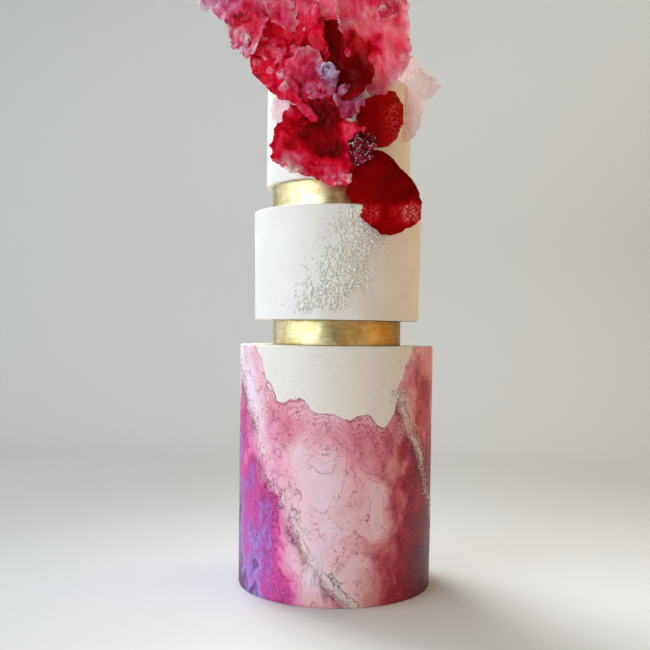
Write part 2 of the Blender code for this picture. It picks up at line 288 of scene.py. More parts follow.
def vein_points(vein):
    """A vein as (arc length, height) points every 2 mm or so, with a wandering course."""
    points = []
    for (z0, a0), (z1, a1) in zip(vein, vein[1:]):
        for k in range(16):
            t = k / 16
            z = z0 + (z1 - z0) * t
            s = math.radians(a0 + (a1 - a0) * t) * WALL_RADIUS
            stray = noise.noise(Vector((z / 14, a0, 0.0))) * 5 + noise.noise(Vector((z / 5, a1, 3.0))) * 2
            points.append((s + stray, z))
    return points


def ink_attributes(drum):
    """Stores for the marbling, in mm, how far each point is below the white's edge, and how far from a vein
    and on which side of it."""
    mesh = drum.data
    tree = kdtree.KDTree(16 * sum(len(v) - 1 for v in VEINS))
    courses = [point for vein in VEINS for point in vein_points(vein)]
    for index, (s, z) in enumerate(courses):
        tree.insert((s, z, 0.0), index)
    tree.balance()
    ink, vein, side = (np.zeros(len(mesh.vertices), dtype=np.float32) for _ in range(3))
    for i, vertex in enumerate(mesh.vertices):
        x, y, z = vertex.co.x, vertex.co.y, vertex.co.z * 1000
        degrees = math.degrees(math.atan2(x, -y))
        edge = table_value(WINDOW_EDGE, degrees)
        flat = math.hypot(x, y) < 100.4 * MM and z > 240
        place = Vector((x, y, vertex.co.z)) * 1000
        wander = noise.noise(place / 22) * 7 + noise.noise(place / 9 + Vector((5, 0, 0))) * 3
        ink[i] = -20.0 if flat else edge + wander - z
        s = math.radians(degrees) * WALL_RADIUS
        found, _, distance = tree.find((s, z, 0.0))
        vein[i] = min(distance, 60.0)
        side[i] = 1.0 if s < found.x else -1.0
    for name, values in (("ink", ink), ("vein", vein), ("vein_side", side)):
        mesh.attributes.new(name, "FLOAT", "POINT").data.foreach_set("value", values)


def poured_marbling():
    """Fondant painted with thinned food colour that ran and pooled: pale washes, thin dark tide lines and
    deeper magenta and violet low on the sides, with a satin gloss where the colour dried thick."""
    made, add = new_material("poured_food_colour")
    place = add("TexCoord").outputs["Object"]

    def contour(value, level, width):
        """A thin line where the value passes a level."""
        past = add("Math", {0: value, 1: level}, operation="SUBTRACT")
        return add("MapRange", {0: add("Math", {0: past}, operation="ABSOLUTE"), 2: width, 3: 1.0, 4: 0.0})

    def fracture(value, width):
        """Thin lines where the value passes each whole number and a half."""
        return contour(add("Math", {0: value}, operation="FRACT"), 0.5, width)

    ink = add("Attribute", attribute_name="ink").outputs["Fac"]
    vein = add("Attribute", attribute_name="vein").outputs["Fac"]
    side = add("Attribute", attribute_name="vein_side").outputs["Fac"]
    hung = add("Mapping", {"Vector": place, "Scale": (1.0, 1.0, 0.6)})
    flow = add("TexNoise", {"Vector": hung, "Scale": 1 / (40 * MM), "Detail": 5.0, "Roughness": 0.55,
                            "Distortion": 0.7})
    pools = add("TexNoise", {"Vector": hung, "Scale": 1 / (24 * MM), "Detail": 5.0, "Roughness": 0.58,
                             "Distortion": 1.3})
    lace = add("TexNoise", {"Vector": place, "Scale": 1 / (15 * MM), "Detail": 5.0, "Roughness": 0.6,
                            "Distortion": 0.8})
    rag = add("TexNoise", {"Vector": place, "Scale": 1 / (5 * MM), "Detail": 4.0, "Roughness": 0.6})
    speck = add("TexNoise", {"Vector": place, "Scale": 1 / (1.7 * MM), "Detail": 2.0, "Roughness": 0.6})
    # The same clouds counted from their middle, to push a value either way.
    flow_swing, pool_swing, lace_swing, rag_swing, speck_swing = (
        add("Math", {0: cloud, 1: 0.5}, operation="SUBTRACT") for cloud in (flow, pools, lace, rag, speck))
    jagged = add("Math", {0: rag_swing, 1: 7.0}, operation="MULTIPLY")
    jagged = add("Math", {0: speck_swing, 1: 2.5, 2: jagged}, operation="MULTIPLY_ADD")
    edge = add("Math", {0: ink, 1: jagged}, operation="ADD")
    covered = add("MapRange", {0: edge, 1: -0.4, 2: 0.6})
    # The depth of colour grows to the sides and the foot: violet on the left, crimson on the right.
    split = add("SeparateXYZ", {"Vector": place})
    across, height = split.outputs["X"], split.outputs["Z"]
    sideways = add("Math", {0: across, 1: 1 / (101 * MM)}, operation="MULTIPLY")
    sideways = add("Math", {0: sideways}, operation="ABSOLUTE")
    sideways = add("Math", {0: sideways, 1: 1.6}, operation="POWER")
    low = add("MapRange", {0: height, 1: 0.25, 2: 0.0})
    side_weight = add("MapRange", {0: height, 1: 0.25, 2: 0.12, 3: 0.36, 4: 0.74})
    side_weight = add("Math", {0: sideways, 1: side_weight}, operation="MULTIPLY")
    reach = add("Math", {0: low, 1: 0.44, 2: side_weight}, operation="MULTIPLY_ADD")
    off_centre = add("Math", {0: across}, operation="ABSOLUTE")
    reach = add("Math", {0: reach, 1: add("MapRange", {0: off_centre, 2: 0.1, 4: 0.08})}, operation="ADD")
    reach = add("Math", {0: reach, 1: add("MapRange", {0: across, 2: 0.08, 4: 0.14})}, operation="ADD")
    reach = add("Math", {0: low, 1: add("MapRange", {0: across, 1: -0.01, 2: -0.05, 4: 0.2}), 2: reach},
                operation="MULTIPLY_ADD")
    reach = add("Math", {0: flow_swing, 1: 0.9, 2: reach}, operation="MULTIPLY_ADD")
    band = add("Math", {0: add("Math", {0: edge, 1: 24.0}, operation="SUBTRACT")}, operation="ABSOLUTE")
    band = add("MapRange", {0: band, 2: 34.0, 3: 0.3, 4: 0.0})
    wash_tone = add("Math", {0: flow, 1: 0.9, 2: band}, operation="MULTIPLY_ADD")
    wash_tone = add("Math", {0: wash_tone, 1: -0.1}, operation="ADD")
    wash_tone = add("Math", {0: rag_swing, 1: 0.16, 2: wash_tone}, operation="MULTIPLY_ADD")
    thinned = add("Math", {0: add("MapRange", {0: height, 1: 0.16, 2: 0.22}),
                           1: add("MapRange", {0: across, 1: -0.045, 2: -0.085})}, operation="MULTIPLY")
    wash_tone = add("Math", {0: thinned, 1: -0.42, 2: wash_tone}, operation="MULTIPLY_ADD")
    centre = add("MapRange", {0: sideways, 1: 0.3, 2: 0.0, 4: -0.16})
    wash_tone = add("Math", {0: low, 1: centre, 2: wash_tone}, operation="MULTIPLY_ADD")
    wash = add("ValToRGB", {"Fac": wash_tone},
               stops=[(0.1, "#F2E2F0"), (0.3, "#F6CAD6"), (0.46, "#EFAABC"), (0.62, "#E4869E"),
                      (0.8, "#CC587C")])
    deep = add("MapRange", {0: reach, 1: 0.6, 2: 1.34})
    deep = add("Math", {0: pool_swing, 1: 1.1, 2: deep}, operation="MULTIPLY_ADD", use_clamp=True)
    violets = add("ValToRGB", {"Fac": deep},
                  stops=[(0.0, "#F2B2CC"), (0.22, "#EC90BC"), (0.42, "#DC4296"), (0.57, "#C64AA4"),
                         (0.69, "#AE64C0"), (0.8, "#AE88D4"), (0.9, "#7C50A4"), (1.0, "#6A1E5E")])
    crimsons = add("ValToRGB", {"Fac": deep},
                   stops=[(0.0, "#DC9292"), (0.18, "#CA5C6C"), (0.34, "#B0284A"), (0.5, "#941A3C"),
                          (0.68, "#781436"), (0.82, "#642456"), (1.0, "#4A0C24")])
    right = add("Math", {0: flow_swing, 1: 0.06, 2: across}, operation="MULTIPLY_ADD")
    right = add("MapRange", {0: right, 1: -0.01, 2: 0.03})
    depths = add("MixRGB", {0: right, 1: violets, 2: crimsons})
    torn = add("Math", {0: rag_swing, 1: 0.2}, operation="MULTIPLY")
    torn = add("Math", {0: speck_swing, 1: 0.1, 2: torn}, operation="MULTIPLY_ADD")
    cover = add("MapRange", {0: add("Math", {0: reach, 1: torn}, operation="ADD"), 1: 0.52, 2: 0.7})
    colour = add("MixRGB", {0: cover, 1: wash, 2: depths})
    # The foot dried peach where thin colour gathered.
    foot = add("MapRange", {0: height, 1: 0.026, 2: 0.004, 4: 0.55})
    bare = add("Math", {0: 1.0, 1: cover}, operation="SUBTRACT")
    foot = add("Math", {0: foot, 1: bare}, operation="MULTIPLY")
    colour = add("MixRGB", {0: foot, 1: colour, 2: hex_colour("#F09C9E")})
    # Tide lines: thin dark contours where the colour dried, close together under the white.
    tides = add("Math", {0: lace, 1: 4.5, 2: add("Math", {0: edge, 1: 0.16}, operation="MULTIPLY")},
                operation="MULTIPLY_ADD")
    under_white = add("Math", {0: add("MapRange", {0: edge, 1: 60.0, 2: 8.0}),
                               1: add("MapRange", {0: pools, 1: 0.4, 2: 0.56, 3: 0.2})}, operation="MULTIPLY")
    line = add("Math", {0: fracture(tides, 0.14), 1: under_white}, operation="MULTIPLY")
    drift = add("Math", {0: lace, 1: 2.0, 2: add("Math", {0: flow, 1: 9.0}, operation="MULTIPLY")},
                operation="MULTIPLY_ADD")
    faint = add("Math", {0: fracture(drift, 0.1),
                         1: add("MapRange", {0: pools, 1: 0.4, 2: 0.6, 3: 0.2, 4: 0.85})},
                operation="MULTIPLY")
    line = add("Math", {0: line, 1: faint}, operation="MAXIMUM")
    colour = add("MixRGB", {0: line, 1: colour, 2: hex_colour("#A01E4C")})
    cracks = add("Math", {0: fracture(add("Math", {0: lace, 1: 5.0}, operation="MULTIPLY"), 0.075),
                          1: add("MapRange", {0: deep, 1: 0.12, 2: 0.45})}, operation="MULTIPLY")
    cracks = add("Math", {0: cracks, 1: add("MapRange", {0: flow, 1: 0.4, 2: 0.56})}, operation="MULTIPLY")
    colour = add("MixRGB", {0: cracks, 1: colour, 2: hex_colour("#50102E")})
    bright_specks = add("Math", {0: add("MapRange", {0: speck, 1: 0.6, 2: 0.68}),
                                 1: add("MapRange", {0: cover, 3: 0.12, 4: 0.3})}, operation="MULTIPLY")
    colour = add("MixRGB", {0: bright_specks, 1: colour, 2: hex_colour("#F6C0D2")})
    dark_specks = add("Math", {0: add("MapRange", {0: speck, 1: 0.38, 2: 0.31}),
                               1: add("MapRange", {0: cover, 3: 0.06, 4: 0.55})}, operation="MULTIPLY")
    colour = add("MixRGB", {0: dark_specks, 1: colour, 2: hex_colour("#7A1848")})
    rim = contour(edge, 0.9, 1.3)
    rim_ink = add("MapRange", {0: pools, 1: 0.4, 2: 0.55, 3: 0.3, 4: 0.85})
    rim_ink = add("Math", {0: rim, 1: rim_ink}, operation="MULTIPLY")
    colour = add("MixRGB", {0: rim_ink, 1: colour, 2: hex_colour("#96425E")})
    # Beside a vein the colour is washed out to white on one side and pools dark on the other.
    near = add("Math", {0: lace_swing, 1: 20.0, 2: vein}, operation="MULTIPLY_ADD")
    near = add("Math", {0: rag_swing, 1: 6.0, 2: near}, operation="MULTIPLY_ADD")
    near = add("Math", {0: near, 1: add("MapRange", {0: flow, 1: 0.52, 2: 0.4, 4: 12.0})}, operation="ADD")
    washed = add("MapRange", {0: side, 1: 1.0, 2: -1.0})
    pale = add("Math", {0: add("MapRange", {0: near, 1: 3.0, 2: 17.0, 3: 0.8, 4: 0.0}),
                        1: add("Math", {0: washed, 1: add("MapRange", {0: flow, 1: 0.44, 2: 0.56, 3: 0.1})},
                               operation="MULTIPLY")}, operation="MULTIPLY")
    colour = add("MixRGB", {0: pale, 1: colour, 2: hex_colour("#F8EEF0")})
    pooled = add("Math", {0: add("MapRange", {0: near, 1: 3.0, 2: 20.0, 3: 0.85, 4: 0.0}),
                          1: add("MapRange", {0: side, 1: -1.0})}, operation="MULTIPLY")
    pooled = add("Math", {0: pooled, 1: add("MapRange", {0: pools, 1: 0.58, 2: 0.42, 3: 0.25})},
                 operation="MULTIPLY")
    colour = add("MixRGB", {0: pooled, 1: colour, 2: hex_colour("#86205E")})
    dark_line = add("MapRange", {0: flow, 1: 0.42, 2: 0.54, 4: 0.8})
    dark_line = add("Math", {0: contour(near, 7.0, 1.5), 1: dark_line}, operation="MULTIPLY")
    colour = add("MixRGB", {0: dark_line, 1: colour, 2: hex_colour("#561038")})
    sugar = add("Math", {0: add("MapRange", {0: near, 1: 1.0, 2: 6.5, 3: 0.75, 4: 0.0}),
                         1: add("MapRange", {0: speck, 1: 0.4, 2: 0.56})}, operation="MULTIPLY")
    colour = add("MixRGB", {0: sugar, 1: colour, 2: hex_colour("#D6CBC8")})
    colour = add("MixRGB", {0: covered, 1: hex_colour("#F1EEE8"), 2: colour})
    relief = add("Bump", {"Height": rag, "Distance": 0.3 * MM, "Strength": 0.4})
    raised = add("Math", {0: rim, 1: line}, operation="ADD")
    raised = add("Math", {0: raised, 1: cracks}, operation="ADD")
    surface = add("BsdfPrincipled", {
        "Base Color": colour,
        "Roughness": add("MapRange", {0: covered, 3: 0.5, 4: 0.38}),
        "Normal": add("Bump", {"Height": raised, "Distance": 0.35 * MM, "Strength": 0.6, "Normal": relief}),
        "IOR": 1.46,
        "Specular IOR Level": 0.3,
    })
    add("OutputMaterial", {"Surface": surface})
    return made


def sugar_crystal(name, light, dark, roughness=0.25, metallic=0.0):
    """Sanding sugar or edible glitter: small hard grains that catch the light, no two quite alike."""
    made, add = new_material(name)
    place = add("TexCoord").outputs["Object"]
    pick = add("TexNoise", {"Vector": place, "Scale": 1 / (3 * MM), "Detail": 1.0})
    surface = add("BsdfPrincipled", {
        "Base Color": add("ValToRGB", {"Fac": pick}, stops=[(0.38, dark), (0.62, light)]),
        "Metallic": metallic,
        "Roughness": add("MapRange", {0: pick, 3: roughness, 4: roughness + 0.2}),
        "IOR": 1.54,
    })
    add("OutputMaterial", {"Surface": surface})
    return made


GRAIN_SHAPES = {}


def grain_shape(level):
    """The vertices and faces of a round grain, made once."""
    if level not in GRAIN_SHAPES:
        bm = bmesh.new()
        bmesh.ops.create_icosphere(bm, subdivisions=level, radius=1.0)
        vertices = [v.co.copy() for v in bm.verts]
        faces = [tuple(v.index for v in f.verts) for f in bm.faces]
        bm.free()
        GRAIN_SHAPES[level] = (vertices, faces)
    return GRAIN_SHAPES[level]


def scatter(name, places, material, level=1, smooth=True, slot=None):
    """One joined mesh of grains, each as (point, outward direction, width, depth, spin)."""
    shape, sides = grain_shape(level)
    vertices, faces = [], []
    for point, outward, width, depth, spin in places:
        turn = outward.to_track_quat("Z", "Y").to_matrix() @ Matrix.Rotation(spin, 3, "Z")
        start = len(vertices)
        stretch = 0.75 + 0.5 * abs(math.sin(spin * 3.7))
        for corner in shape:
            local = Vector((corner.x * width * stretch, corner.y * width, corner.z * depth))
            vertices.append(point + turn @ local)
        faces.extend(tuple(start + i for i in side) for side in sides)
    obj = mesh_object(name, vertices, faces, material, smooth)
    dress(obj, slot=slot)
    return obj


def wall_point(name, z, degrees):
    """A point of a tier's side at a height in mm, 0 degrees at the front, with its outward direction."""
    low, high = TIER_HEIGHTS[name]
    foot, top = TIER_RADII[name]
    radius = foot + (top - foot) * (z * MM - low) / (high - low)
    angle = math.radians(degrees)
    outward = Vector((math.sin(angle), -math.cos(angle), 0.0))
    return outward * radius + Vector((0, 0, z * MM)), outward


# The band of sugar on the middle tier: height in mm, then the middle and half width in degrees. Then how many
# grains and flakes are dropped, between which heights, and the width from which a grain is a lump.
PATCH_LINE = (
    (387, 14, 12), (379, 12, 16), (367, 11, 20), (353, 14, 25), (336, 5, 21), (312, 1, 25), (290, -13, 22),
    (281, -16, 14),
)
PATCH_GRAINS, PATCH_FLAKES = 4700, 190
PATCH_LOW, PATCH_HIGH = 282, 387
LUMP_WIDTH = 0.8 * MM


def patch_at(z):
    """The middle and half width in degrees of the sugar at a height in mm."""
    rows = sorted(PATCH_LINE)
    middle = table_value([(row[0], row[1]) for row in rows], z)
    half = table_value([(row[0], row[2]) for row in rows], z)
    return middle, half


def make_patch(white, teal, silver):
    """The crust of sanding sugar that crosses the middle tier, dense in its middle and loose at its edges."""
    draw = random.Random(5)
    lumps, fine, cold, bright = [], [], [], []
    for _ in range(PATCH_GRAINS):
        z = draw.uniform(PATCH_LOW, PATCH_HIGH)
        middle, half = patch_at(z)
        across = draw.gauss(0, 0.55)
        degrees = middle + half * across
        clump = noise.noise(Vector((degrees / 6, z / 9, 2.0)))
        clump += 0.5 * noise.noise(Vector((degrees / 2, z / 3, 5)))
        if abs(across) > 1.4 or clump < -0.40 + 0.42 * abs(across) ** 2:
            continue
        point, outward = wall_point("middle_tier", z, degrees)
        fade = max(0.45, 1 - 0.4 * abs(across))
        width = (0.55 + 1.25 * draw.random() ** 2.2) * fade * MM
        depth = width * draw.uniform(0.7, 1.2)
        lift = outward * depth * draw.uniform(-0.1, 0.45)
        target = lumps if width > LUMP_WIDTH else fine
        target.append((point + lift, outward, width, depth, draw.uniform(0, FULL_TURN)))
    for _ in range(PATCH_FLAKES):
        z = draw.triangular(284, 372, 297)
        middle, half = patch_at(z)
        degrees = middle + half * draw.gauss(-0.1, 0.4)
        point, outward = wall_point("middle_tier", z, degrees)
        width = draw.uniform(0.3, 0.7) * MM
        target = cold if draw.random() < 0.7 else bright
        target.append((point + outward * 0.6 * MM, outward, width, width * 0.7, draw.uniform(0, FULL_TURN)))
    scatter("middle_tier_sugar_crust", lumps, white, level=2, slot="white_icing")
    scatter("middle_tier_fine_sugar", fine, white, slot="white_icing")
    scatter("middle_tier_teal_flakes", cold, teal, smooth=False, slot="white_icing")
    scatter("middle_tier_silver_flakes", bright, silver, smooth=False, slot="white_icing")


# How thickly each vein is sugared, and the heights in mm between which it is.
VEIN_SUGAR = (0.45, 1.0, 0.7, 0.7)
VEIN_LOW, VEIN_HIGH = 2, 246


def make_vein_sugar(white, silver, magenta):
    """Sugar and glitter strewn along the poured veins of the bottom tier."""
    draw = random.Random(17)
    pale, bright, dark = [], [], []
    for vein, sugared in zip(VEINS, VEIN_SUGAR):
        for s, z in vein_points(vein):
            if not VEIN_LOW < z < VEIN_HIGH:
                continue
            width_here = 3.6 + 5.0 * noise.noise(Vector((s / 22, z / 22, 9.0)))
            weight = sugared * max(0.2, 1.2 + 1.6 * noise.noise(Vector((s / 18, z / 18, 4.0))))
            for _ in range(int(12 * weight) + 1):
                ds = draw.gauss(2.5, width_here)
                dz = draw.gauss(0, 3)
                degrees = math.degrees((s + ds) / WALL_RADIUS)
                if not VEIN_LOW < z + dz < VEIN_HIGH:
                    continue
                point, outward = wall_point("bottom_tier", z + dz, degrees)
                width = (0.22 + 0.5 * draw.random() ** 2) * MM
                kind = draw.random()
                target = pale if kind < 0.45 else bright if kind < 0.8 else dark
                target.append((point + outward * width * 0.1, outward, width, width * 0.8,
                               draw.uniform(0, FULL_TURN)))
    scatter("bottom_tier_white_sugar", pale, white, slot="pink_marbled_icing")
    scatter("bottom_tier_silver_glitter", bright, silver, smooth=False, slot="pink_marbled_icing")
    scatter("bottom_tier_dark_sugar", dark, magenta, slot="pink_marbled_icing")


def sugar_sail(name, reds, bubble, veil=0.0, glow=0.3, gloss=0.2, specular=0.2, streak=0.16):
    """Rice paper soaked in coloured syrup and dried crisp: thick places hold deep colour, thin blisters let
    the light through pale, and the dried syrup is glossy. A paler ring round each blister is a painted
    highlight. bubble is the blister size in mm."""
    made, add = new_material(name)
    place = add("TexCoord").outputs["Object"]
    # The syrup ran down while the sheet hung: long wisps of colour, finer crinkles and round blisters.
    drawn = add("Mapping", {"Vector": place, "Rotation": (0.0, 0.35, 0.0), "Scale": (1.0, 1.0, 0.42)})
    wisps = add("TexNoise", {"Vector": drawn, "Scale": 1 / (9 * MM), "Detail": 5.0, "Roughness": 0.6,
                             "Distortion": 0.9})
    crinkle = add("TexNoise", {"Vector": place, "Scale": 1 / (2.4 * MM), "Detail": 3.0, "Roughness": 0.55})
    cells = add("TexVoronoi", {"Vector": place, "Scale": 1 / (bubble * MM), "Randomness": 0.9},
                feature="F1").outputs["Distance"]
    blister = add("Attribute", attribute_name="blister").outputs["Fac"]
    dome = add("MapRange", {0: cells, 1: 0.62, 2: 0.12}, interpolation_type="SMOOTHSTEP")
    dome = add("Math", {0: dome, 1: blister}, operation="MULTIPLY")
    disc = add("MapRange", {0: cells, 1: 0.55, 2: 0.48})
    # Painted highlight: a paler ring round the rim of each blister, added to its pale disc.
    blister_rim_highlight = add("Math", {0: cells, 1: 0.47}, operation="SUBTRACT")
    blister_rim_highlight = add("MapRange", {0: add("Math", {0: blister_rim_highlight}, operation="ABSOLUTE"), 2: 0.05, 3: 0.2, 4: 0.0})
    disc = add("Math", {0: disc, 1: blister_rim_highlight}, operation="ADD")
    disc = add("Math", {0: disc, 1: blister}, operation="MULTIPLY")
    # The tone runs from thick and deep to thin and pale, and picks the colour. It also carries painted light
    # and shade on the folds and the painted highlight round the blisters.
    swing = add("MapRange", {0: wisps, 1: 0.28, 2: 0.72, 3: -streak, 4: streak})
    tone = add("Attribute", attribute_name="tone").outputs["Fac"]
    tone = add("Math", {0: tone, 1: swing}, operation="ADD")
    flecks = add("Math", {0: crinkle, 1: 0.5}, operation="SUBTRACT")
    tone = add("Math", {0: flecks, 1: 0.22, 2: tone}, operation="MULTIPLY_ADD")
    bubbled = add("Math", {0: blister, 1: -0.45, 2: disc}, operation="MULTIPLY_ADD")
    tone = add("Math", {0: bubbled, 1: 0.34, 2: tone}, operation="MULTIPLY_ADD", use_clamp=True)
    red = add("ValToRGB", {"Fac": tone}, stops=reds)
    purple = add("ValToRGB", {"Fac": tone}, stops=LILACS)
    lilac = add("Attribute", attribute_name="lilac").outputs["Fac"]
    tint = add("MixRGB", {0: lilac, 1: red, 2: purple})
    folds = add("Bump", {"Height": wisps, "Distance": 1.2 * MM, "Strength": 0.5})
    blown = add("Bump", {"Height": dome, "Distance": 0.22 * bubble * MM, "Strength": 0.8, "Normal": folds})
    specks = add("Bump", {"Height": crinkle, "Distance": 0.45 * MM, "Strength": 0.6, "Normal": blown})
    coat = add("BsdfPrincipled", {
        "Base Color": tint,
        "Roughness": add("MapRange", {0: crinkle, 1: 0.3, 2: 0.7, 3: gloss, 4: gloss + 0.18}),
        "Normal": specks,
        "IOR": 1.45,
        "Specular IOR Level": specular,
    })
    through = add("BsdfTranslucent", {"Color": tint, "Normal": specks})
    surface = add("MixShader", {0: glow, 1: coat, 2: through})
    if veil:
        clear = add("BsdfTransparent", {"Color": hex_colour("#FFF6F6")})
        share = add("MapRange", {0: tone, 1: 0.4, 4: veil})
        surface = add("MixShader", {0: share, 1: surface, 2: clear})
    add("OutputMaterial", {"Surface": surface})
    return made


# Syrup colours from thick to thin.
CRIMSONS = [(0.0, "#5E0002"), (0.16, "#98000C"), (0.32, "#CE021E"), (0.46, "#F20A38"), (0.60, "#F53E68"),
            (0.76, "#F68099"), (0.9, "#FBC4CE"), (1.0, "#FFE6EA")]
RUBIES = [(0.0, "#780103"), (0.18, "#A60204"), (0.36, "#C8080E"), (0.52, "#DC2428"), (0.68, "#EA7076"),
          (0.84, "#F6B4B4"), (1.0, "#FFE2DE")]
ROSES = [(0.0, "#6A0006"), (0.18, "#B4021E"), (0.36, "#E8103E"), (0.50, "#F93C6E"), (0.64, "#FA6C92"),
         (0.80, "#FB9CB0"), (0.92, "#FCC8D0"), (1.0, "#FFE8EA")]
BLUSHES = [(0.0, "#C86478"), (0.3, "#E298A6"), (0.55, "#F0C0C8"), (0.78, "#F8DDE2"), (1.0, "#FFF4F6")]
LILACS = [(0.0, "#4E0E30"), (0.25, "#8C2C60"), (0.5, "#B868A4"), (0.72, "#CBA2D6"), (1.0, "#F2EAF8")]
